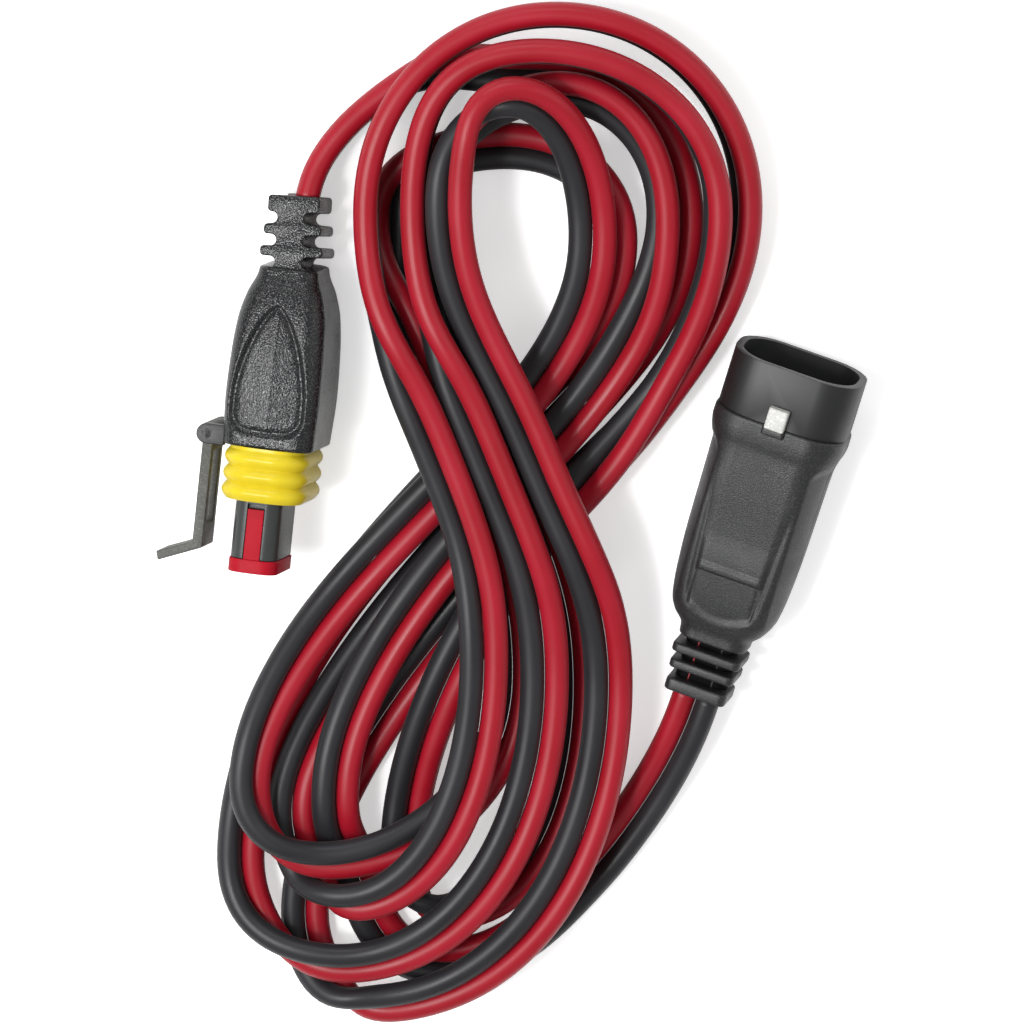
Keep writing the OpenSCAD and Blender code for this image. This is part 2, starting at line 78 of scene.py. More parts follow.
# How far behind its front each moulding touches the floor
PLUG_TOUCH, SOCKET_TOUCH = 12, 4
PLUG_MIDDLE_Z = lying(PLUG_T, PLUG_W, PLUG_R, PLUG_ROLL)
SOCKET_MIDDLE_Z = lying(COLLAR_W, COLLAR_T, COLLAR_R, SOCKET_ROLL)
PLUG_EXIT = (-33.5, 42.9, PLUG_MIDDLE_Z - (PLUG_BODY_L - PLUG_TOUCH) * sin_deg(PLUG_RISE))
SOCKET_EXIT = (29.0, -36.9, SOCKET_MIDDLE_Z - (SOCKET_BODY_L - SOCKET_TOUCH) * sin_deg(SOCKET_RISE))


def out_of(lean, rise):
    """Direction in which the cord leaves a connector that points down the picture."""
    return np.array([-sin_deg(lean) * cos_deg(rise), cos_deg(lean) * cos_deg(rise), -sin_deg(rise)])


def place(cord_exit, turn, rise, roll):
    """Matrix from a connector's own millimetres to the part's metres."""
    return (
        Matrix.Scale(MM, 4)
        @ Matrix.Translation(Vector(MIDDLE) + Vector(cord_exit))
        @ Matrix.Rotation(math.radians(turn), 4, "Z")
        @ Matrix.Rotation(math.radians(90 - rise), 4, "X")
        @ Matrix.Rotation(math.radians(roll), 4, "Z")
    )


AT_PLUG = place(PLUG_EXIT, PLUG_LEAN, PLUG_RISE, PLUG_ROLL)
AT_SOCKET = place(SOCKET_EXIT, 180 + SOCKET_LEAN, SOCKET_RISE, SOCKET_ROLL)
# The plug's soft tail droops a little behind the body and turns with the cord
TAIL_DROOP, TAIL_TURN, TAIL_SHIFT, TAIL_ROOT = -5.0, 3.5, 0.95, 11.0
AT_TAIL = (
    AT_PLUG
    @ Matrix.Translation((TAIL_SHIFT, 0, TAIL_ROOT))
    @ Matrix.Rotation(math.radians(TAIL_DROOP), 4, "X")
    @ Matrix.Rotation(math.radians(TAIL_TURN), 4, "Y")
    @ Matrix.Translation((0, 0, -TAIL_ROOT))
)


# ---------------------------------------------------------------- materials
def new_material(name):
    mat = bpy.data.materials.new(name)
    mat.use_nodes = True
    tree = mat.node_tree
    shader = tree.nodes["Principled BSDF"]
    return mat, tree, shader


def noise(tree, coords, scale, detail=2.0, roughness=0.5, stretch=None):
    node = tree.nodes.new("ShaderNodeTexNoise")
    node.inputs["Scale"].default_value = scale
    node.inputs["Detail"].default_value = detail
    node.inputs["Roughness"].default_value = roughness
    source = coords
    if stretch:
        mapping = tree.nodes.new("ShaderNodeMapping")
        mapping.inputs["Scale"].default_value = stretch
        tree.links.new(coords, mapping.inputs["Vector"])
        source = mapping.outputs["Vector"]
    tree.links.new(source, node.inputs["Vector"])
    return node.outputs["Fac"]


def spread(tree, value, low, high, from_low=0.3, from_high=0.7):
    node = tree.nodes.new("ShaderNodeMapRange")
    node.inputs["From Min"].default_value = from_low
    node.inputs["From Max"].default_value = from_high
    node.inputs["To Min"].default_value = low
    node.inputs["To Max"].default_value = high
    tree.links.new(value, node.inputs["Value"])
    return node.outputs["Result"]


def mix_colour(tree, factor, a, b):
    node = tree.nodes.new("ShaderNodeMix")
    node.data_type = "RGBA"
    node.inputs["A"].default_value = (*a, 1.0)
    node.inputs["B"].default_value = (*b, 1.0)
    tree.links.new(factor, node.inputs["Factor"])
    return node.outputs["Result"]


def bump(tree, height, distance, strength, below=None):
    node = tree.nodes.new("ShaderNodeBump")
    node.inputs["Distance"].default_value = distance
    node.inputs["Strength"].default_value = strength
    tree.links.new(height, node.inputs["Height"])
    if below is not None:
        tree.links.new(below, node.inputs["Normal"])
    return node.outputs["Normal"]


def calc(tree, operation, *terms):
    node = tree.nodes.new("ShaderNodeMath")
    node.operation = operation
    for i, term in enumerate(terms):
        if isinstance(term, (int, float)):
            node.inputs[i].default_value = term
        else:
            tree.links.new(term, node.inputs[i])
    return node.outputs[0]


def moulded_grain(name, dark, light, roughness, grain, depth, painted_glint_specks=(0.5, 0.68), facets=3.0, level=0.5):
    """Spark-eroded plastic: a fine grain whose light specks in the base colour are painted glints, partly the grain's
    own tone, over a faint mottling.
    """
    mat, tree, shader = new_material(name)
    coords = tree.nodes.new("ShaderNodeTexCoord").outputs["Object"]
    fine = noise(tree, coords, grain, facets, 0.65)
    broad = noise(tree, coords, 260.0, 3.0)
    # Light specks where the fine grain is high: painted glints, partly the grain's own tone
    grain_and_painted_glints = mix_colour(tree, spread(tree, fine, 0.0, 1.0, *painted_glint_specks), dark, light)
    tree.links.new(grain_and_painted_glints, shader.inputs["Base Color"])
    tree.links.new(spread(tree, broad, roughness - 0.06, roughness + 0.06), shader.inputs["Roughness"])
    tree.links.new(bump(tree, fine, depth, 1.0), shader.inputs["Normal"])
    shader.inputs["Specular IOR Level"].default_value = level
    return mat


def smooth_plastic(name, dark, light, roughness, play=0.045, wave_depth=0.00002, coat=0.0, level=0.5):
    """Injection-moulded plastic or rubber with a faint flow mottling and a fine skin."""
    mat, tree, shader = new_material(name)
    coords = tree.nodes.new("ShaderNodeTexCoord").outputs["Object"]
    broad = noise(tree, coords, 420.0, 3.0)
    skin = noise(tree, coords, 2600.0, 2.0)
    tree.links.new(mix_colour(tree, broad, dark, light), shader.inputs["Base Color"])
    tree.links.new(spread(tree, skin, roughness - play, roughness + play), shader.inputs["Roughness"])
    tree.links.new(bump(tree, skin, wave_depth, 0.6), shader.inputs["Normal"])
    shader.inputs["Specular IOR Level"].default_value = level
    shader.inputs["Coat Weight"].default_value = coat
    shader.inputs["Coat Roughness"].default_value = 0.25
    return mat


def cord_skin(name, dark, light, roughness, sheen):
    """Extruded insulation: faint streaks along the core, from its own map, and a soft gloss."""
    mat, tree, shader = new_material(name)
    uv = tree.nodes.new("ShaderNodeUVMap")
    uv.uv_map = "along"
    coords = tree.nodes.new("ShaderNodeTexCoord").outputs["Object"]
    streak = noise(tree, uv.outputs["UV"], 1.0, 2.0, 0.5, stretch=(9.0, 40.0, 1.0))
    mottle = noise(tree, coords, 90.0, 3.0)
    fine = noise(tree, coords, 1500.0, 2.0)
    both = calc(tree, "MULTIPLY_ADD", streak, 0.5, calc(tree, "MULTIPLY", mottle, 0.5))
    tree.links.new(mix_colour(tree, spread(tree, both, 0, 1), dark, light), shader.inputs["Base Color"])
    tree.links.new(spread(tree, mottle, roughness - 0.05, roughness + 0.06), shader.inputs["Roughness"])
    first = bump(tree, streak, 0.00004, 0.5)
    tree.links.new(bump(tree, fine, 0.00001, 0.5, first), shader.inputs["Normal"])
    shader.inputs["Sheen Weight"].default_value = sheen
    shader.inputs["Sheen Roughness"].default_value = 0.4
    shader.inputs["Specular IOR Level"].default_value = 0.31
    return mat


def bare_metal(name, dark, light, roughness, grain):
    """Drawn or plated metal with a fine variation of gloss."""
    mat, tree, shader = new_material(name)
    coords = tree.nodes.new("ShaderNodeTexCoord").outputs["Object"]
    lines = noise(tree, coords, grain, 3.0)
    tree.links.new(mix_colour(tree, lines, dark, light), shader.inputs["Base Color"])
    tree.links.new(spread(tree, lines, roughness - 0.08, roughness + 0.1), shader.inputs["Roughness"])
    tree.links.new(bump(tree, lines, 0.00001, 0.5), shader.inputs["Normal"])
    shader.inputs["Metallic"].default_value = 1.0
    return mat


PLUG_BLACK = moulded_grain(
    "plug_moulding_black",
    (0.006, 0.0065, 0.0075),
    (0.04, 0.04, 0.04),
    roughness=0.17,
    grain=4300.0,
    depth=0.000095,
    painted_glint_specks=(0.52, 0.72),
    facets=0.5,
    level=0.4,
)
SOCKET_BLACK = moulded_grain(
    "socket_moulding_black",
    (0.012, 0.0122, 0.013),
    (0.042, 0.042, 0.044),
    roughness=0.4,
    grain=4200.0,
    depth=0.00005,
    level=0.42,
)
LATCH_GREY = moulded_grain(
    "latch_grey", (0.052, 0.052, 0.045), (0.115, 0.115, 0.1), roughness=0.55, grain=3200.0, depth=0.00005
)
# The real catch is the housing's black plastic; its pale grey-white here is painted highlight standing in for the
# glare on its face
CATCH_PAINTED_GLARE = moulded_grain(
    "catch_painted_glare", (0.48, 0.48, 0.46), (0.7, 0.7, 0.67), roughness=0.5, grain=2600.0, depth=0.00003
)
SHROUD_GREY = smooth_plastic(
    "shroud_grey",
    (0.009, 0.0092, 0.0095),
    (0.012, 0.012, 0.0125),
    roughness=0.43,
    play=0.008,
    wave_depth=0.000001,
    level=0.42,
)
# Near-black spine between the socket's tail plates: painted shade for the shade deep in the slots
SLOT_PAINTED_SHADE = smooth_plastic("slot_painted_shade", (0.0015, 0.0015, 0.0015), (0.003, 0.003, 0.003), 0.7, level=0.08)
MOUTH_BLACK = smooth_plastic("mouth_black", (0.011, 0.0115, 0.012), (0.016, 0.0165, 0.017), 0.5, level=0.25)
NOSE_GREY = smooth_plastic("nose_grey", (0.022, 0.026, 0.025), (0.032, 0.037, 0.035), 0.36)
SEAL_YELLOW = smooth_plastic("seal_yellow", (0.55, 0.41, 0.014), (0.66, 0.53, 0.022), 0.32, coat=0.16, level=0.12)
LOCK_RED = smooth_plastic("lock_red", (0.3, 0.003, 0.012), (0.38, 0.006, 0.017), 0.5, level=0.12)
CORD_RED = cord_skin("cord_red", (0.26, 0.003, 0.009), (0.34, 0.006, 0.02), 0.4, sheen=0.04)
CORD_BLACK = cord_skin("cord_black", (0.013, 0.013, 0.0145), (0.022, 0.022, 0.025), 0.42, sheen=0.05)
COPPER = bare_metal("copper_strands", (0.7, 0.3, 0.16), (0.85, 0.45, 0.28), 0.35, grain=1800.0)
TIN = bare_metal("tin_plate", (0.6, 0.6, 0.58), (0.76, 0.76, 0.74), 0.3, grain=1200.0)
PIN_STEEL = bare_metal("pin_steel", (0.5, 0.5, 0.5), (0.62, 0.62, 0.62), 0.32, grain=900.0)


# ---------------------------------------------------------------- mesh helpers
def make_object(name, verts, faces, material, place_at=None):
    mesh = bpy.data.meshes.new(name)
    mesh.from_pydata([tuple(v) for v in verts], [], [tuple(f) for f in faces])
    if place_at is not None:
        mesh.transform(place_at)
    mesh.update()
    for poly in mesh.polygons:
        poly.use_smooth = True
    mesh.materials.append(material)
    obj = bpy.data.objects.new(name, mesh)
    bpy.context.scene.collection.objects.link(obj)
    return obj


def ease(t):
    t = np.clip(t, 0.0, 1.0)
    return t * t * (3 - 2 * t)


def rounded_outline(w, t, r, count):
    """Points evenly spaced round a rectangle with round corners, counter-clockwise from the middle of +X."""
    turn = np.linspace(0, math.pi / 2, 25)
    ring = []
    for k, (sx, sy) in enumerate(((1, 1), (-1, 1), (-1, -1), (1, -1))):
        a = turn + k * math.pi / 2
        ring.append(np.stack([sx * (w / 2 - r) + r * np.cos(a), sy * (t / 2 - r) + r * np.sin(a)], 1))
    ring = np.concatenate([[[w / 2, 0.0]], *ring, [[w / 2, 0.0]]])
    reach = np.concatenate([[0], np.cumsum(np.linalg.norm(np.diff(ring, axis=0), axis=1))])
    at = np.linspace(0, reach[-1], count, endpoint=False)
    return np.stack([np.interp(at, reach, ring[:, 0]), np.interp(at, reach, ring[:, 1])], 1)


def through(keys, z):
    """Smooth values through rows of [z, value, ...] that never overshoot a row."""
    keys = np.asarray(keys, float)
    x, y = keys[:, 0], keys[:, 1:]
    step = np.diff(x)
    slope = np.diff(y, axis=0) / step[:, None]
    tangent = np.zeros_like(y)
    for i in range(1, len(x) - 1):
        same = slope[i - 1] * slope[i] > 0
        with np.errstate(divide="ignore", invalid="ignore"):
            mean = 2 * slope[i - 1] * slope[i] / (slope[i - 1] + slope[i])
        tangent[i] = np.where(same, mean, 0.0)
    tangent[0], tangent[-1] = slope[0], slope[-1]
    i = np.clip(np.searchsorted(x, z, side="right") - 1, 0, len(x) - 2)
    t = ((z - x[i]) / step[i])[:, None]
    h = step[i][:, None]
    return (
        (2 * t**3 - 3 * t**2 + 1) * y[i]
        + (t**3 - 2 * t**2 + t) * h * tangent[i]
        + (3 * t**2 - 2 * t**3) * y[i + 1]
        + (t**3 - t**2) * h * tangent[i + 1]
    )


def skin_faces(rows, count):
    """Quads between rows of points; the points of a row go counter-clockwise about +Z as Z grows."""
    faces = []
    for i in range(rows - 1):
        for j in range(count):
            a, b = i * count + j, i * count + (j + 1) % count
            faces.append((a, b, b + count, a + count))
    return faces


def capped(faces, rows, count):
    """The same faces with both open ends closed."""
    faces.append(tuple(range(count - 1, -1, -1)))
    faces.append(tuple(range((rows - 1) * count, rows * count)))
    return faces


def loft(name, rings, material, place_at):
    """A closed skin over rings that all have the same count of points."""
    rings = np.asarray(rings)
    rows, count = rings.shape[:2]
    return make_object(name, rings.reshape(-1, 3), capped(skin_faces(rows, count), rows, count), material, place_at)


def face_out(obj):
    """Turns every face of a closed skin outwards."""
    bm = bmesh.new()
    bm.from_mesh(obj.data)
    bmesh.ops.recalc_face_normals(bm, faces=bm.faces)
    bm.to_mesh(obj.data)
    bm.free()
    return obj


def prism(name, outline, low, high, material, place_at):
    """A slab between two heights in Y whose outline is given in X and Z."""
    verts = [(x, y, z) for y in (low, high) for x, z in outline]
    n = len(outline)
    faces = [(i, (i + 1) % n, n + (i + 1) % n, n + i) for i in range(n)]
    return face_out(make_object(name, verts, capped(faces, 2, n), material, place_at))


def soft_ends(z0, z1, radius, steps=5):
    """Rows of (z, inset) that round both ends of a slab."""
    a = np.linspace(0, math.pi / 2, steps)
    near = [(z0 + radius * (1 - math.sin(t)), radius * (1 - math.cos(t))) for t in a[::-1]]
    far = [(z1 - radius * (1 - math.sin(t)), radius * (1 - math.cos(t))) for t in a]
    return near, far


def moulding_rows(sections, edge, rows, points):
    """A moulding's outlines along its sections, both ends rounded: z, sizes in X and Y, and the points' x and y."""
    near, far = soft_ends(sections[0][0], sections[-1][0], edge)
    body = np.linspace(near[-1][0], far[0][0], rows)
    for z, inset in [*near, *[(z, 0.0) for z in body[1:-1]], *far]:
        in_x, in_y, corner = through(sections, np.array([z]))[0]
        outline = rounded_outline(in_x - 2 * inset, in_y - 2 * inset, corner - inset * 0.6, points)
        yield z, in_x, in_y, outline[:, 0], outline[:, 1]


def rounded_slab_rings(w, t, r, z0, z1, edge, count=96):
    """Rings of a slab with round corners whose two ends are rounded too."""
    near, far = soft_ends(z0, z1, edge, 4)
    rings = []
    for z, inset in [*near, *far]:
        ring = rounded_outline(w - 2 * inset, t - 2 * inset, max(r - inset, 0.1), count)
        rings.append(np.column_stack([ring, np.full(count, z)]))
    return rings


def join(name, pieces):
    """One object from several, each face in its own piece's material."""
    bm = bmesh.new()
    materials = []
    for piece in pieces:
        before = len(bm.faces)
        bm.from_mesh(piece.data)
        bm.faces.ensure_lookup_table()
        material = next(m for m in piece.data.materials if m)
        if material not in materials:
            materials.append(material)
        for face in bm.faces[before:]:
            face.material_index = materials.index(material)
    mesh = bpy.data.meshes.new(name)
    bm.to_mesh(mesh)
    bm.free()
    for poly in mesh.polygons:
        poly.use_smooth = True
    for material in materials:
        mesh.materials.append(material)
    for piece in pieces:
        bpy.data.objects.remove(piece)
    obj = bpy.data.objects.new(name, mesh)
    bpy.context.scene.collection.objects.link(obj)
    return obj


BEVEL_ANGLE, BEVEL_STEPS, SHARP_ANGLE, SEAM_ANGLE = 28.0, 3, 40.0, 50.0


def finish_edges(obj, width):
    """Rounds the sharp edges for good and shades the rest smooth."""
    bevel = obj.modifiers.new("edges", "BEVEL")
    bevel.width = width * MM
    bevel.segments = BEVEL_STEPS
    bevel.limit_method = "ANGLE"
    bevel.angle_limit = math.radians(BEVEL_ANGLE)
    apply_modifiers(obj)
    obj.data.set_sharp_from_angle(angle=math.radians(SHARP_ANGLE))
    return obj


def apply_modifiers(obj):
    graph = bpy.context.evaluated_depsgraph_get()
    graph.update()
    mesh = bpy.data.meshes.new_from_object(obj.evaluated_get(graph))
    obj.modifiers.clear()
    obj.data = mesh
    for poly in mesh.polygons:
        poly.use_smooth = True


MERGE_M, FLAT_ANGLE = 1e-6, 0.5


def softened_copy(node, name, material, width):
    """A copy of a CAD node with merged faces and rounded edges, which stands in for it."""
    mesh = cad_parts[node].data.copy()
    mesh.name = name
    bm = bmesh.new()
    bm.from_mesh(mesh)
    bmesh.ops.remove_doubles(bm, verts=bm.verts, dist=MERGE_M)
    bmesh.ops.dissolve_limit(bm, angle_limit=math.radians(FLAT_ANGLE), verts=bm.verts, edges=bm.edges)
    bm.to_mesh(mesh)
    bm.free()
    mesh.materials.clear()
    mesh.materials.append(material)
    obj = bpy.data.objects.new(name, mesh)
    bpy.context.scene.collection.objects.link(obj)
    return finish_edges(obj, width)


# ---------------------------------------------------------------- camera, light and floor
SENSOR_W = 36.0
VIEW_TILT = 14.0
VIEW_SPAN = 160.0
VIEW_DISTANCE = 2.4
VIEW_MIDDLE = (0.06, -10.24, 8.0)


def set_camera():
    data = bpy.data.cameras.new("camera")
    camera = bpy.data.objects.new("camera", data)
    bpy.context.scene.collection.objects.link(camera)
    towards = Vector((0.0, sin_deg(VIEW_TILT), cos_deg(VIEW_TILT)))
    up = Vector((0.0, cos_deg(VIEW_TILT), -sin_deg(VIEW_TILT)))
    right = up.cross(towards)
    turn = Matrix((right, up, towards)).transposed().to_4x4()
    camera.matrix_world = Matrix.Translation(Vector(VIEW_MIDDLE) * MM + towards * VIEW_DISTANCE) @ turn
    data.sensor_fit = "HORIZONTAL"
    data.sensor_width = SENSOR_W
    data.lens = SENSOR_W * VIEW_DISTANCE / (VIEW_SPAN * MM)
    data.clip_end = 20.0
    bpy.context.scene.camera = camera


LIGHTS = (
    # name, place and size in metres, power in watts
    ("key", (-0.54, 0.05, 0.88), (0.5, 0.6), 8.4),
    ("fill", (0.75, 0.3, 0.6), (0.4, 0.9), 1.3),
    ("top", (-0.1, 0.85, 0.5), (0.5, 0.08), 1.9),
    ("sparkle", (-0.36, 0.02, 0.9), (0.09, 0.09), 2.2),
)
LIT_SPOT = Vector((0, -0.01, 0.008))


def set_lights():
    for name, place_m, size_m, power in LIGHTS:
        data = bpy.data.lights.new(name, "AREA")
        data.shape = "RECTANGLE"
        data.size, data.size_y = size_m
        data.energy = power
        lamp = bpy.data.objects.new(name, data)
        bpy.context.scene.collection.objects.link(lamp)
        turn = (LIT_SPOT - Vector(place_m)).to_track_quat("-Z", "Y").to_matrix().to_4x4()
        lamp.matrix_world = Matrix.Translation(Vector(place_m)) @ turn


def to_the_eye(tree, unseen, seen):
    """A strength that differs for what the camera itself sees."""
    path = tree.nodes.new("ShaderNodeLightPath")
    strength = tree.nodes.new("ShaderNodeMapRange")
    strength.inputs["To Min"].default_value = unseen
    strength.inputs["To Max"].default_value = seen
    tree.links.new(path.outputs["Is Camera Ray"], strength.inputs["Value"])
    return strength.outputs["Result"]


def set_world():
    world = bpy.data.worlds.new("studio")
    bpy.context.scene.world = world
    world.use_nodes = True
    tree = world.node_tree
    sky = tree.nodes["Background"]
    sky.inputs["Color"].default_value = (1.0, 1.0, 1.0, 1.0)
    tree.links.new(to_the_eye(tree, 0.5, 1.0), sky.inputs["Strength"])


def floor_material():
    mat, tree, shader = new_material("studio_floor")
    shader.inputs["Base Color"].default_value = (0.93, 0.93, 0.93, 1.0)
    shader.inputs["Roughness"].default_value = 0.9
    shader.inputs["Emission Color"].default_value = (1.0, 1.0, 1.0, 1.0)
    tree.links.new(to_the_eye(tree, 0.06, 0.46), shader.inputs["Emission Strength"])
    return mat


FLOOR_HALF, FLOOR_DROP = 3.0, 0.0003


def set_floor():
    corners = [(x * FLOOR_HALF, y * FLOOR_HALF, 0) for x, y in ((-1, -1), (1, -1), (1, 1), (-1, 1))]
    floor = make_object("floor", corners, [(0, 1, 2, 3)], floor_material())
    floor.location.z = -FLOOR_DROP


# ---------------------------------------------------------------- cord
# Each turn of the hank is a figure of eight that passes eight stations: 0 over the waist, 1 left of the top
# lobe, 2 its top, 3 its right, 4 under the waist, 5 left of the bottom lobe, 6 its bottom, 7 its right.
# A station is (x, y, height of the middle between the cores, roll) in millimetres and degrees.
HEADING = (111, 90, 0, -90, 227, -90, 0, 90)
TURNS = (
    (
        (), (), (4, 62, 1.9, 180), (26.5, 39, 3.2, 140),
        (1, -2.5, 1.9, 180), (-35, -55.5, 7, 190), (-26.5, -70, 12.4, 325), (-4.5, -29.5, 15.8, 355),
    ),
    (
        (-12, 4, 15, 25), (-23, 42, 10.5, 91), (6.5, 72, 7.6, 107), (36.5, 41, 5, 107),
        (7, -8, 1.9, 180), (-33, -74.5, 1.9, 190), (-22.5, -88, 6.2, 325), (15, -34.5, 11, 355),
    ),
    (
        (3.5, 4, 15, 25), (-10.1, 44.5, 15.8, 22), (-0.5, 61, 14.8, 150), (12.5, 36.5, 8.8, 170),
        (-5, 2.5, 6.2, 180), (-41.5, -50.5, 13, 225), (-30, -63, 12.2, 320), (0, -34, 10.1, 360),
    ),
    (
        (-9, 3, 10.6, 0), (-19.5, 40.5, 2.3, 170), (-0.5, 50, 2.3, 170), (16.5, 36, 3.4, 130),
        (-5, 2.5, 1.9, 180), (-43, -65.5, 5, 195), (-27, -80.5, 9.6, 325), (5, -33, 13.2, 355),
    ),
    (
        (-4.5, 4, 15, 25), (-15.5, 42.5, 11.6, 96), (4, 67, 11.2, 105), (32, 41.5, 10, 101),
        (7, -8, 6.2, 180), (-17.3, -64, 1.9, 200), (-10.5, -74, 1.9, 325), (9.5, -36.5, 6, 360),
    ),
    (
        (-0.5, 3, 10.6, 0), (-11.5, 42, 8.4, 90), (7.5, 60, 8.2, 150), (23.5, 40, 7.6, 110),
        (1, -2.5, 6.2, 180), (-28, -52.5, 8.8, 195), (), (),
    ),
)
# How far each turn keeps straight above the left of its bottom lobe, as a share of the run
LOW_HOLD = (0.18, 0.26, 0.26, 0.34, 0.26, 0.26)
# For a run, named by its turn and first station, the share of it as (start, length) over which the pair rolls,
# where that isn't while it rises. In the two top turns the black core goes behind the red one low on the way up
# and stays there most of the way down.
ROLL_SPAN = {
    (0, 5): (0.45, 0.55), (1, 5): (0.45, 0.55),
    (1, 0): (0.12, 0.56), (4, 0): (0.12, 0.56),
    (1, 3): (0.5, 0.5), (4, 3): (0.5, 0.5),
}
# How full the corners of the lobes are, and the upper left corner of the top lobe in two of the turns
OVAL, UPPER_LEFT_OVAL = 0.56, {1: 0.57, 4: 0.71}
# The free stretches, chosen along the cord from the plug and to the socket
PLUG_TAIL = (
    (-31.3, 46, 5.8, 95), (-29.3, 49.4, 5.2, 97.5), (-25.6, 53.9, 4.6, 100),
    (-20.6, 58.1, 3.9, 101), (-15.6, 61.2, 3.8, 112), (-10, 62.8, 2.6, 160),
    (-4, 62, 1.9, 180),
)
# The cord leaves the plug's end plate nearer its right edge and starts a little inside it
PLUG_SIDE, PLUG_INSIDE, PLUG_OUTSIDE = 1.5, 0.9, 0.3
SOCKET_TAIL = (
    (-26.6, -61.5, 6.1, 1990), (-24.4, -67, 3.3, 1984), (-22.2, -75, 1.9, 1980),
    (-18, -80.5, 1.9, 1980), (-11.5, -82.5, 1.9, 1980), (-3.5, -81, 1.9, 1980),
    (3, -77, 1.9, 1980), (9, -71, 1.9, 1980), (15.5, -63.5, 1.9, 1980),
    (21.5, -54.5, 2.8, 1984), (25.4, -46.9, 4.8, 1990),
)
# The share of a run next to the waist over which the pair climbs or drops
RAMP = 0.62
# Points on a run of the hank, between two places of a free stretch, and round a core
POINTS_A_QUARTER, POINTS_A_STEP, RING_POINTS = 24, 8, 20
# The even step of the finished line and the reach, both in millimetres, over which its bends are eased
EVEN_STEP, EASE_REACH = 1.2, 3.0
RED, BLACK = 1, -1
PLUG_END_ROLL = 92
SOCKET_END_ROLL = 5 * 360 + 180 - SOCKET_ROLL


def grounded(x, y, height, roll):
    lowest = CORE_D / 2 + CORE_PITCH / 2 * abs(sin_deg(roll))
    return np.array([x, y, max(height, lowest), roll])


Station = namedtuple("Station", "x y height roll heading turn number")


def stations():
    for turn, row in enumerate(TURNS):
        for number, point in enumerate(row):
            if point:
                x, y, height, roll = point
                yield Station(x, y, height, roll + 360 * turn, HEADING[number], turn, number)


# How far a run keeps its first and its last heading, as a share of the run: over or up to the waist, down the
# right of the top lobe, and from under the waist to the bottom lobe
WAIST_HOLD, DOWN_HOLD, BACK_HOLD = 0.42, (0.34, 0.36), 0.36


def leads(a, b):
    """How far the run from station a to station b keeps each station's own heading."""
    gap = np.abs(np.subtract(b[:2], a[:2]))
    reach = np.linalg.norm(gap)
    if a.number % 4 in (1, 2):
        oval = UPPER_LEFT_OVAL.get(a.turn, OVAL) if a.number == 1 else OVAL
        return oval * gap[a.number % 2], oval * gap[b.number % 2]
    if a.number == 3:
        return DOWN_HOLD[0] * reach, DOWN_HOLD[1] * reach
    if a.number == 4:
        return BACK_HOLD * reach, LOW_HOLD[b.turn] * reach
    return WAIST_HOLD * reach, WAIST_HOLD * reach


def heading_vector(angle):
    return np.array([cos_deg(angle), sin_deg(angle)])


def on_lobe(a, b, t):
    lead, tail = leads(a, b)
    p, q = np.array(a[:2]), np.array(b[:2])
    first, second = p + lead * heading_vector(a.heading), q - tail * heading_vector(b.heading)
    xy = (1 - t) ** 3 * p + 3 * (1 - t) ** 2 * t * first + 3 * (1 - t) * t**2 * second + t**3 * q
    if a.number % 4 == 0:
        rise = ease((t - 1 + RAMP) / RAMP)
    elif b.number % 4 == 0 or a.number == 6:
        rise = ease(t / RAMP)
    else:
        rise = ease(t)
    rolled = rise
    if (a.turn, a.number) in ROLL_SPAN:
        start, share = ROLL_SPAN[a.turn, a.number]
        rolled = ease((t - start) / share)
    lift = rolled if a.turn == 0 else rise
    return grounded(*xy, a.height + (b.height - a.height) * lift, a.roll + (b.roll - a.roll) * rolled)


def hank_line():
    row = list(stations())
    line = [grounded(row[0][0] - CORE_D, *row[0][1:4])]
    for a, b in zip(row, row[1:]):
        line += [on_lobe(a, b, i / POINTS_A_QUARTER) for i in range(POINTS_A_QUARTER)]
    x, y, height, roll = row[-1][:4]
    return line + [grounded(x, y, height, roll), grounded(x, y - CORE_D, height, roll)]


def spline(points):
    points = [np.array(p, float) for p in points]
    ends = [2 * points[0] - points[1], *points, 2 * points[-1] - points[-2]]
    line = []
    for a, b, c, d in zip(ends, ends[1:], ends[2:], ends[3:]):
        for i in range(POINTS_A_STEP):
            t = i / POINTS_A_STEP
            bent = (2 * a - 5 * b + 4 * c - d) * t**2 + (3 * b - a - 3 * c + d) * t**3
            line.append(grounded(*(0.5 * (2 * b + (c - a) * t + bent))))
    return line + [points[-1]]


def pair_line():
    """The middle line between the two cores from the plug to the socket, with the roll of the pair."""
    hank = hank_line()
    plug_out, socket_out = out_of(PLUG_LEAN, PLUG_RISE), out_of(180 + SOCKET_LEAN, SOCKET_RISE)
    plug_mouth, socket_mouth = np.array(PLUG_EXIT) + (PLUG_SIDE, 0, 0), np.array(SOCKET_EXIT)
    first = spline([[*(plug_mouth + PLUG_OUTSIDE * plug_out), PLUG_END_ROLL], *PLUG_TAIL, hank[0]])
    hank_foot = hank[-1] - np.array([0, CORE_D / 3, 0, 0])
    last = spline([hank_foot, *SOCKET_TAIL, [*(socket_mouth + CORE_D * socket_out), SOCKET_END_ROLL]])
    plug_foot = np.array([*(plug_mouth - PLUG_INSIDE * plug_out), PLUG_END_ROLL])
    socket_foot = np.array([*socket_mouth, SOCKET_END_ROLL])
    return eased(np.array([plug_foot, *first, *hank[1:], *last, socket_foot]))


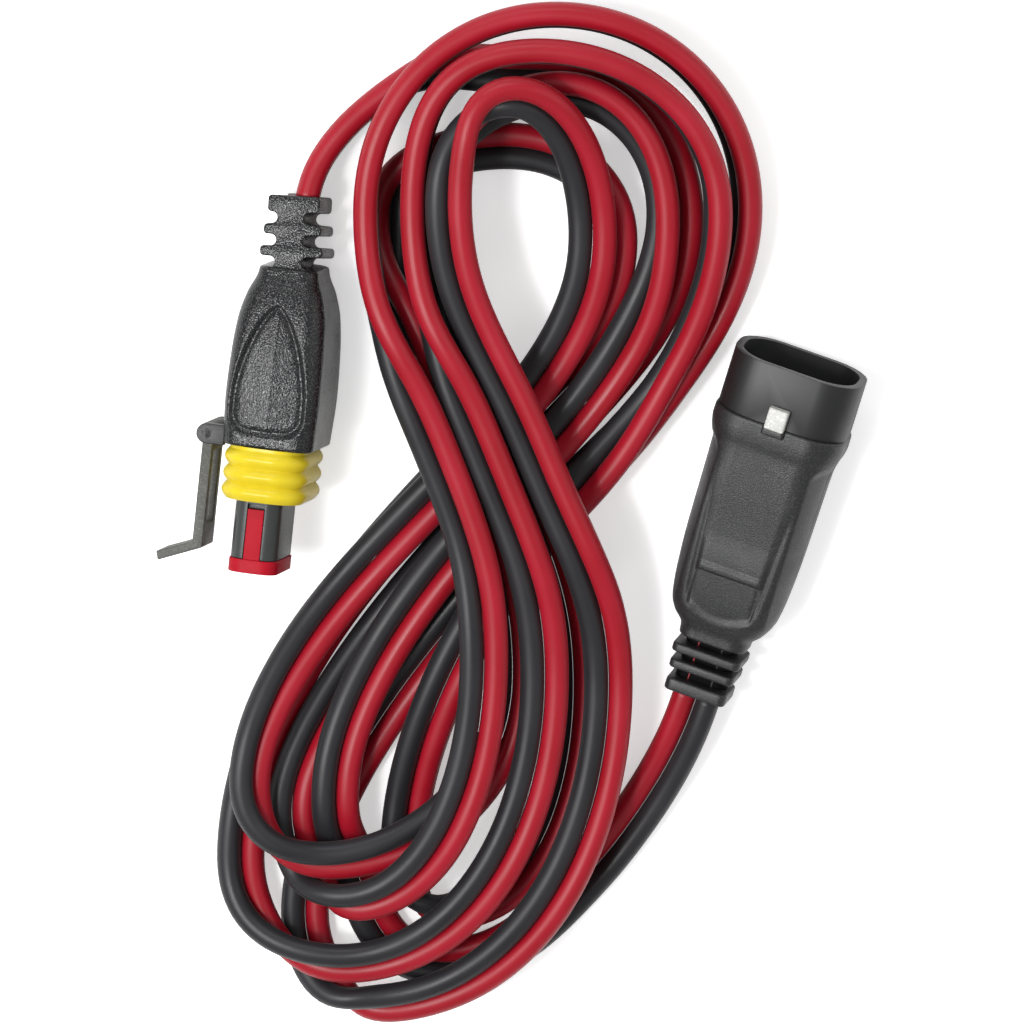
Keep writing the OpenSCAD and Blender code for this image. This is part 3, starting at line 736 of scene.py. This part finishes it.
def eased(line):
    """The line at even steps with its sharper bends eased, its two ends kept and nothing below the floor."""
    steps = np.linalg.norm(np.diff(line[:, :3], axis=0), axis=1)
    keep = np.concatenate([[True], steps > 1e-6])
    reach = np.concatenate([[0], np.cumsum(steps)])
    even = np.linspace(0, reach[-1], round(reach[-1] / EVEN_STEP))
    line = np.stack([np.interp(even, reach[keep], line[keep, k]) for k in range(4)], 1)
    half = round(3 * EASE_REACH / EVEN_STEP)
    weight = np.exp(-0.5 * (np.arange(-half, half + 1) * EVEN_STEP / EASE_REACH) ** 2)
    padded = np.concatenate([2 * line[0] - line[half:0:-1], line, 2 * line[-1] - line[-2 : -half - 2 : -1]])
    line = np.stack([np.convolve(padded[:, k], weight / weight.sum(), "valid") for k in range(4)], 1)
    return np.array([grounded(*point) for point in line])


def core_frame(line):
    along = np.gradient(line[:, :3], axis=0)
    along /= np.linalg.norm(along, axis=1)[:, None]
    right = np.column_stack([along[:, 1], -along[:, 0], 0 * along[:, 0]])
    right /= np.linalg.norm(right, axis=1)[:, None]
    up = np.cross(right, along)
    roll = np.radians(line[:, 3])[:, None]
    across = np.cos(roll) * right + np.sin(roll) * up
    return along, across


def make_core(name, side, material, nodes):
    line = pair_line()
    along, across = core_frame(line)
    middle = line[:, :3] + side * CORE_PITCH / 2 * across + np.array(MIDDLE)
    over = np.cross(along, across)
    angle = 2 * math.pi * np.arange(RING_POINTS) / RING_POINTS
    round_core = np.cos(angle)[None, :, None] * across[:, None] + np.sin(angle)[None, :, None] * over[:, None]
    rings = middle[:, None] + CORE_D / 2 * round_core
    faces = capped(skin_faces(len(line), RING_POINTS), len(line), RING_POINTS)
    obj = make_object(name, rings.reshape(-1, 3) * MM, faces, material)
    reach = np.concatenate([[0], np.cumsum(np.linalg.norm(np.diff(middle, axis=0), axis=1))]) * MM
    map_along(obj.data, reach, len(line))
    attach(obj, "lead")
    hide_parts(*nodes)
    [tuple(p) for p in middle * MM]


def map_along(mesh, reach, rings):
    """UV map: once round the core in u, metres along it in v."""
    layer = mesh.uv_layers.new(name="along")
    uv = np.zeros((len(mesh.loops), 2))
    vert = np.zeros(len(mesh.loops), int)
    mesh.loops.foreach_get("vertex_index", vert)
    uv[:, 0] = (vert % RING_POINTS) / RING_POINTS
    uv[:, 1] = reach[np.minimum(vert // RING_POINTS, rings - 1)]
    layer.data.foreach_set("uv", uv.ravel())


# ---------------------------------------------------------------- geometry node trees
def new_tree(name, sizes):
    """An empty tree that takes named sizes and gives a mesh; returns it with its two end nodes."""
    tree = bpy.data.node_groups.new(name, "GeometryNodeTree")
    for label, value in sizes.items():
        kind = "NodeSocketInt" if isinstance(value, int) else "NodeSocketFloat"
        if isinstance(value, bpy.types.Material):
            kind = "NodeSocketMaterial"
        socket = tree.interface.new_socket(label, in_out="INPUT", socket_type=kind)
        socket.default_value = value
    tree.interface.new_socket("Mesh", in_out="OUTPUT", socket_type="NodeSocketGeometry")
    return tree, tree.nodes.new("NodeGroupInput"), tree.nodes.new("NodeGroupOutput")


def node_of(tree, kind, links=()):
    node = tree.nodes.new(kind)
    for socket, source in dict(links).items():
        tree.links.new(source, node.inputs[socket])
    return node


def run_tree(name, tree, place_at):
    """Evaluates a tree into a plain mesh in the part's metres."""
    holder = bpy.data.objects.new(name, bpy.data.meshes.new(name))
    bpy.context.scene.collection.objects.link(holder)
    modifier = holder.modifiers.new("form", "NODES")
    modifier.node_group = tree
    apply_modifiers(holder)
    holder.data.transform(place_at)
    return holder


def outline_curve(tree, width, height, radius):
    rect = node_of(tree, "GeometryNodeCurvePrimitiveQuadrilateral", {"Width": width, "Height": height})
    fillet = node_of(tree, "GeometryNodeFilletCurve", {"Curve": rect.outputs["Curve"], "Radius": radius})
    set_menu(fillet, "POLY", "Poly")
    fillet.inputs["Count"].default_value = 12
    return fillet.outputs["Curve"]


def set_menu(node, value, label):
    """Sets a node's mode, which some releases keep as a property and some as a socket."""
    if hasattr(node, "mode"):
        node.mode = value
    else:
        node.inputs["Mode"].default_value = label


SEAL_PLAY_T, SEAL_PLAY_W, SEAL_RIBBED = 1.7, 1.3, 0.94


def ribbed_seal_tree():
    """A ring whose outer wall swells into round ribs."""
    tree, given, made = new_tree(
        "ribbed_seal",
        {
            "Width": SHROUD_T - 2 * SHROUD_WALL - SEAL_PLAY_T,
            "Height": SHROUD_W - 2 * SHROUD_WALL - SEAL_PLAY_W,
            "Corner": 4.0,
            "Wall": 1.1,
            "Length": SEAL_L,
            "Ribs": 3,
            "Rib Height": 0.75,
            "Material": SEAL_YELLOW,
        },
    )
    path = outline_curve(tree, given.outputs["Width"], given.outputs["Height"], given.outputs["Corner"])
    sides = {"Width": given.outputs["Wall"], "Height": given.outputs["Length"]}
    section = node_of(tree, "GeometryNodeCurvePrimitiveQuadrilateral", sides)
    points = node_of(tree, "GeometryNodeResampleCurve", {"Curve": section.outputs["Curve"]})
    points.inputs["Count"].default_value = 220
    spot = node_of(tree, "ShaderNodeSeparateXYZ", {"Vector": node_of(tree, "GeometryNodeInputPosition").outputs[0]})
    share = calc(tree, "ADD", calc(tree, "DIVIDE", spot.outputs["Y"], given.outputs["Length"]), 0.5)
    ribbed_share = calc(tree, "MINIMUM", calc(tree, "DIVIDE", share, SEAL_RIBBED), 1.0)
    phase = calc(tree, "MULTIPLY", ribbed_share, calc(tree, "MULTIPLY", given.outputs["Ribs"], 2 * math.pi))
    wave = calc(tree, "MULTIPLY_ADD", calc(tree, "COSINE", phase), -0.5, 0.5)
    swell = calc(tree, "MULTIPLY", calc(tree, "POWER", wave, 0.5), given.outputs["Rib Height"])
    outside = calc(tree, "GREATER_THAN", spot.outputs["X"], 0.0)
    push = calc(tree, "MULTIPLY", swell, outside)
    shift = node_of(tree, "ShaderNodeCombineXYZ", {"X": push})
    moved = {"Geometry": points.outputs["Curve"], "Offset": shift.outputs[0]}
    ribbed = node_of(tree, "GeometryNodeSetPosition", moved)
    ring = node_of(tree, "GeometryNodeCurveToMesh", {"Curve": path, "Profile Curve": ribbed.outputs["Geometry"]})
    finish_tree(tree, ring.outputs["Mesh"], given, made)
    return tree


def finish_tree(tree, mesh, given, made):
    real = node_of(tree, "GeometryNodeRealizeInstances", {"Geometry": mesh})
    coated = node_of(
        tree, "GeometryNodeSetMaterial", {"Geometry": real.outputs["Geometry"], "Material": given.outputs["Material"]}
    )
    tree.links.new(coated.outputs["Geometry"], made.inputs["Mesh"])


def plates_tree():
    """A row of flat rounded plates that grow a little towards the socket's moulding."""
    sizes = {"Width": 10.6, "Height": 8.8, "Corner": 1.2, "Thickness": 1.4, "Plates": 2, "Pitch": 2.7, "Growth": 0.06}
    tree, given, made = new_tree("strain_plates", {**sizes, "Material": SOCKET_BLACK})
    outline = outline_curve(tree, given.outputs["Width"], given.outputs["Height"], given.outputs["Corner"])
    face = node_of(tree, "GeometryNodeFillCurve", {"Curve": outline})
    set_menu(face, "NGONS", "N-gons")
    slab = node_of(
        tree, "GeometryNodeExtrudeMesh", {"Mesh": face.outputs["Mesh"], "Offset Scale": given.outputs["Thickness"]}
    )
    back = node_of(tree, "GeometryNodeFlipFaces", {"Mesh": face.outputs["Mesh"]})
    shell = node_of(tree, "GeometryNodeJoinGeometry")
    tree.links.new(slab.outputs["Mesh"], shell.inputs["Geometry"])
    tree.links.new(back.outputs["Mesh"], shell.inputs["Geometry"])
    plate = node_of(tree, "GeometryNodeMergeByDistance", {"Geometry": shell.outputs["Geometry"]})
    plate.inputs["Distance"].default_value = 0.001
    gap = node_of(tree, "ShaderNodeCombineXYZ", {"Z": given.outputs["Pitch"]})
    row = node_of(tree, "GeometryNodeMeshLine", {"Count": given.outputs["Plates"], "Offset": gap.outputs[0]})
    index = node_of(tree, "GeometryNodeInputIndex").outputs[0]
    size = calc(tree, "ADD", calc(tree, "MULTIPLY", index, given.outputs["Growth"]), 1.0)
    scale = node_of(tree, "ShaderNodeCombineXYZ", {"X": size, "Y": size})
    scale.inputs["Z"].default_value = 1.0
    copies = node_of(
        tree,
        "GeometryNodeInstanceOnPoints",
        {"Points": row.outputs["Mesh"], "Instance": plate.outputs["Geometry"], "Scale": scale.outputs[0]},
    )
    finish_tree(tree, copies.outputs["Instances"], given, made)
    return tree


# ---------------------------------------------------------------- plug
# (z, thickness, width, corner) of the plug's moulding
PLUG_SECTIONS = (
    (10.9, 9.3, 12.4, 2.3),
    (12.0, 9.6, 12.8, 2.4),
    (15.2, 12.1, 15.2, 2.8),
    (19.1, 13.9, 17.0, 3.0),
    (24.6, 14.7, 18.3, 3.0),
    (31.0, 15.0, 18.8, 3.0),
    (PLUG_BODY_L, 14.3, 18.2, 2.9),
)
LEAF_TOP, LEAF_WIDEST, LEAF_END = 16.4, 31.5, 37.3
LEAF_HALF_W, LEAF_CORNER, LEAF_EDGE, LEAF_OFF = 6.3, 3.6, 1.3, 0.35
LEAF_SINK, LEAF_ROOF = 0.12, 0.8
GROOVE_DEPTH, GROOVE_IN, GROOVE_W = 0.32, 0.8, 0.45
SEAM_HEIGHT, SEAM_W = 0.035, 0.13
HOLLOW_DEPTH, HOLLOW_HALF_W, HOLLOW_FROM, HOLLOW_TO = 0.22, 5.2, 17, 33


def leaf_recess(x, z):
    """Depth of the leaf-shaped thumb recess on the narrow side: a groove round a low roof."""
    x = x + LEAF_OFF
    up = np.clip((LEAF_WIDEST - z) / (LEAF_WIDEST - LEAF_TOP), 0, 1)
    to_side = LEAF_HALF_W * (1 - up**1.6) ** 0.625 - np.abs(x)
    to_end = LEAF_END - z
    past_side, past_end = (LEAF_CORNER - np.minimum(gap, LEAF_CORNER) for gap in (to_side, to_end))
    in_corner = (to_side < LEAF_CORNER) & (to_end < LEAF_CORNER)
    inside = np.where(in_corner, LEAF_CORNER - np.hypot(past_side, past_end), np.minimum(to_side, to_end))
    groove = GROOVE_DEPTH * np.exp(-(((inside - GROOVE_IN) / GROOVE_W) ** 2))
    roof = LEAF_ROOF * np.clip(np.abs(x) / LEAF_HALF_W, 0, 1)
    return groove + (LEAF_SINK + roof) * ease(inside / LEAF_EDGE)


def plug_moulding_rings():
    rings = []
    for z, thick, wide, x, y in moulding_rows(PLUG_SECTIONS, edge=0.45, rows=150, points=288):
        narrow_side = ease((np.abs(y) - wide * 0.3) / (wide * 0.12))
        seam = SEAM_HEIGHT * np.exp(-((x / SEAM_W) ** 2)) * narrow_side
        sink = leaf_recess(x, z) * narrow_side
        y = y - np.sign(y) * (sink - seam)
        wide_side = ease((np.abs(x) - thick * 0.36) / (thick * 0.1))
        hollow = HOLLOW_DEPTH * ease((HOLLOW_HALF_W - np.abs(y)) / 2.2)
        hollow = hollow * ease((z - HOLLOW_FROM) / 5) * ease((HOLLOW_TO - z) / 5)
        x = x - np.sign(x) * hollow * wide_side + PLUG_BULGE
        rings.append(np.stack([x, y, np.full_like(x, z)], 1))
    return rings


EAR_GAP, EAR_THICK, EAR_ROOT = 0.2, 1.5, 0.35


def latch_ear(side):
    """One ear that carries the latch's pin, as an outline extruded across the plug."""
    inner = side * (KNUCKLE_W / 2 + EAR_GAP)
    low, high = sorted((inner, inner + side * EAR_THICK))
    r = KNUCKLE_D / 2
    arc = [(LATCH_X + r * cos_deg(a), LATCH_Z + r * sin_deg(a)) for a in range(90, 271, 12)]
    root = PLUG_BULGE + EAR_ROOT - PLUG_T / 2
    outline = [(root, LATCH_Z + r), *arc, (root, LATCH_Z - r)]
    return prism("latch_ear", outline, low, high, SOCKET_BLACK, AT_PLUG)


# The plug's tail: (start, end, half width) of its ribs from the cord, and the round-ended notches between them
RIBS = ((0.0, 2.6, 4.1), (4.5, 6.1, 4.55), (7.9, 9.5, 4.95))
RIB_CORNER, NOTCH, WEB_RIGHT, WEB_LEFT = 0.35, 1.8, 1.75, 2.5
TAIL_END, TAIL_END_FLARE, TAIL_HALF_T = 12.4, 1.2, 5.0


def notched_tail_outline():
    """(x, z) of the plug's tail, seen on its narrow side."""
    sides = []
    for side, web in ((1, WEB_RIGHT), (-1, WEB_LEFT)):
        line = []
        for z0, z1, half in RIBS:
            cut = half - RIB_CORNER
            line += [(cut, z0), (half, z0 + RIB_CORNER), (half, z1 - RIB_CORNER), (cut, z1)]
            floor = z1 + NOTCH / 2
            for a in range(0, 181, 20):
                line.append((web + NOTCH / 2 * (1 - sin_deg(a)), floor - NOTCH / 2 * cos_deg(a)))
        line.append((web + TAIL_END_FLARE, TAIL_END))
        sides.append([(side * x, z) for x, z in line])
    return sides[0] + sides[1][::-1]


def make_plug_moulding():
    body = loft("plug_body", plug_moulding_rings(), PLUG_BLACK, AT_PLUG)
    tail = prism("plug_tail", notched_tail_outline(), -TAIL_HALF_T, TAIL_HALF_T, PLUG_BLACK, AT_TAIL)
    ears = [finish_edges(latch_ear(s), 0.2) for s in (-1, 1)]
    moulding = join("plug_moulding", [body, finish_edges(tail, 0.3), *ears])
    moulding.data.set_sharp_from_angle(angle=math.radians(SEAM_ANGLE))
    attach(moulding, "lead")
    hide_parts("plug_overmould")


SEAL_OFF = 0.5


def make_plug_front():
    place_at = AT_PLUG @ Matrix.Translation((SEAL_OFF, 0, PLUG_BODY_L + SEAL_L / 2))
    seal = face_out(run_tree("plug_ring_seal", ribbed_seal_tree(), place_at))
    seal.data.set_sharp_from_angle(angle=math.radians(SEAM_ANGLE))
    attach(seal, "lead")
    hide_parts("plug_seal")
    nose = softened_copy("plug_housing", "plug_nose", NOSE_GREY, 0.25)
    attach(nose, "lead")
    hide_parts("plug_housing")
    lock = softened_copy("plug_lock_plate", "plug_lock", LOCK_RED, 0.2)
    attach(lock, "lock_plate")
    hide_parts("plug_lock_plate")
    latch = softened_copy("plug_latch", "plug_latch_arm", LATCH_GREY, 0.25)
    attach(latch, "latch")
    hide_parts("plug_latch")


# ---------------------------------------------------------------- socket
# (z, width, thickness, corner) of the socket's moulding
SOCKET_SECTIONS = (
    (9.0, 11.0, 8.6, 2.7),
    (10.6, 11.4, 8.8, 2.9),
    (12.6, 14.6, 10.2, 3.4),
    (14.8, 16.9, 11.5, 3.9),
    (19.0, 18.1, 12.6, 4.2),
    (26.0, 18.9, 13.7, 4.6),
    (34.0, 19.2, 14.7, 4.8),
    (40.4, 19.5, 15.1, 5.0),
    (42.2, 19.9, 15.3, 5.1),
    (43.8, 20.9, 15.8, 5.4),
    (45.2, 21.3, 16.0, 5.5),
    (SOCKET_BODY_L, 21.2, 16.0, 5.5),
)
BAR_Z, BAR_HALF_W, BAR_HEIGHT = 21.6, 5.6, 0.2
CREASE_DEPTH, CREASE_X, CREASE_LEAN, CREASE_W = 0.42, 5.7, 0.06, 0.6
PANEL_END, PANEL_BOW, PANEL_HALF_W, PANEL_DEPTH, UPPER_DEPTH = 12.6, 0.06, 5.5, 0.45, 0.3


def socket_wide_side(x, z):
    """Height of the relief on a wide side: a raised cross bar, a sunk panel on either side of it and creases.

    Each ease() below fades a shape in or out: the place where it starts, over the length that it takes.
    """
    bar = BAR_HEIGHT * ease((BAR_Z + 1.1 - z) / 0.8) * ease((z - BAR_Z + 0.75) / 0.25)
    bar = bar * ease((BAR_HALF_W - np.abs(x)) / 0.4)
    crease_x = CREASE_X + CREASE_LEAN * (z - BAR_Z)
    crease = CREASE_DEPTH * np.exp(-(((np.abs(x) - crease_x) / CREASE_W) ** 2))
    crease = crease * ease((z - 14) / 4) * ease((38 - z) / 9)
    low = ease((z - PANEL_END - PANEL_BOW * x**2) / 1.8) * ease((BAR_Z - 0.4 - z) / 0.3)
    panel = PANEL_DEPTH * low * ease((PANEL_HALF_W - np.abs(x)) / 0.6)
    high = ease((z - BAR_Z - 1.2) / 5) * ease((41 - z) / 12)
    upper = UPPER_DEPTH * high * ease((crease_x - np.abs(x)) / 0.9)
    return bar - crease - panel - upper


GRIP_START, GRIP_END, GRIP_EDGE = 12.0, 42.6, 7.4


def socket_grip(x, z):
    """Depth by which the finger grip beside each narrow side cuts into the wide side."""
    top = GRIP_END - 0.35 * np.clip(9.6 - np.abs(x), 0, 3) ** 2
    beyond = np.abs(x) - GRIP_EDGE
    slope = np.where(beyond > 0.25, beyond - 0.125, 2 * np.clip(beyond, 0, 0.25) ** 2)
    return slope * ease((z - GRIP_START) / 3) * ease((top - z) / 1.6)


def socket_moulding_rings():
    rings = []
    for z, _, thick, x, y in moulding_rows(SOCKET_SECTIONS, edge=0.35, rows=170, points=320):
        wide_side = ease((np.abs(y) - thick * 0.3) / (thick * 0.12))
        cut = np.minimum(socket_grip(x, z), np.abs(y) * 0.55)
        y = y + np.sign(y) * (socket_wide_side(x, z) * wide_side - cut)
        rings.append(np.stack([x, y, np.full_like(x, z)], 1))
    return rings


CATCH_W, CATCH_L, CATCH_Z = 3.2, 3.5, SOCKET_BODY_L - 0.3
AT_CATCH = AT_SOCKET @ Matrix.Translation((0, SHROUD_T / 2 + 0.1, 0))


def catch_lip():
    """Dark lip of the moulding under the catch."""
    rings = rounded_slab_rings(CATCH_W + 0.5, 2.2, 0.4, CATCH_Z - 1.1, CATCH_Z + 0.3, edge=0.25, count=48)
    return loft("catch_lip", rings, SOCKET_BLACK, AT_CATCH)


def make_catch():
    """Square block over the seam, which the plug's latch hooks on, in a pale colour that is painted highlight: the
    glare on its black plastic face.
    """
    rings = rounded_slab_rings(CATCH_W, 2.8, 0.35, CATCH_Z, CATCH_Z + CATCH_L, edge=0.25, count=48)
    catch = loft("socket_catch_block", rings, CATCH_PAINTED_GLARE, AT_CATCH)
    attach(catch, "lead")
    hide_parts("socket_catch")


PLATES_START, SPINE_W, SPINE_T = 3.7, 8.5, 3.79


def socket_strain_relief():
    """The slotted tail: a spine in near-black painted shade, two plates in a row and a thicker end plate at the cord.
    """
    row = run_tree("socket_plates", plates_tree(), AT_SOCKET @ Matrix.Translation((0, 0, PLATES_START)))
    spine_rings = rounded_slab_rings(SPINE_W, SPINE_T, 1.7, 0.6, 12.0, edge=0.2)
    end_rings = rounded_slab_rings(10.0, 8.6, 1.2, 0, 2.0, edge=0.35)
    return [
        loft("socket_spine", spine_rings, SLOT_PAINTED_SHADE, AT_SOCKET),
        finish_edges(face_out(row), 0.3),
        loft("socket_end_plate", end_rings, SOCKET_BLACK, AT_SOCKET),
    ]


def make_socket_moulding():
    body = loft("socket_body", socket_moulding_rings(), SOCKET_BLACK, AT_SOCKET)
    moulding = join("socket_moulding", [body, *socket_strain_relief(), catch_lip()])
    moulding.data.set_sharp_from_angle(angle=math.radians(SEAM_ANGLE))
    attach(moulding, "lead")
    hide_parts("socket_overmould")


MOUTH_FLOOR_BELOW = 6


def blacken_mouth(shroud):
    """The mouth's inner walls and floor are a dull black, the outside stays grey."""
    shroud.data.materials.append(MOUTH_BLACK)
    to_own = AT_SOCKET.inverted()
    for poly in shroud.data.polygons:
        spot, facing = to_own @ poly.center, (to_own.to_3x3() @ poly.normal).normalized()
        inward = spot.x * facing.x + spot.y * facing.y < -0.5
        deep = facing.z > 0.9 and spot.z < SOCKET_BODY_L + MOUTH_FLOOR_BELOW
        if inward or deep:
            poly.material_index = 1


def make_socket_front():
    shroud = softened_copy("socket_housing", "socket_shroud", SHROUD_GREY, 0.25)
    blacken_mouth(shroud)
    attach(shroud, "lead")
    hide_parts("socket_housing")


# ---------------------------------------------------------------- nodes that keep their shape
def kept_nodes():
    """Each CAD node that keeps its shape, with its material."""
    yield "plug_latch_pin", PIN_STEEL
    yield "socket_lock_plate", LOCK_RED
    for colour, skin in (("red", CORD_RED), ("black", CORD_BLACK)):
        yield f"plug_receptacle_{colour}", TIN
        yield f"socket_pin_{colour}", TIN
        for end in ("plug", "socket"):
            yield f"{end}_wire_seal_{colour}", SEAL_YELLOW
            yield f"{end}_strands_{colour}", COPPER
            yield f"{end}_core_{colour}", skin


def finish_kept_nodes():
    for node, material in kept_nodes():
        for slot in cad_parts[node].material_slots:
            slot.link = "OBJECT"
            slot.material = material


set_camera()
make_core("red_core", RED, CORD_RED, ("plug_tail_red", "hank_red", "socket_tail_red"))
make_core("black_core", BLACK, CORD_BLACK, ("plug_tail_black", "hank_black", "socket_tail_black"))
set_world()
set_floor()
set_lights()
make_plug_moulding()
make_plug_front()
make_socket_moulding()
make_socket_front()
make_catch()
finish_kept_nodes()

scene = bpy.context.scene
scene.view_settings.view_transform = "Standard"
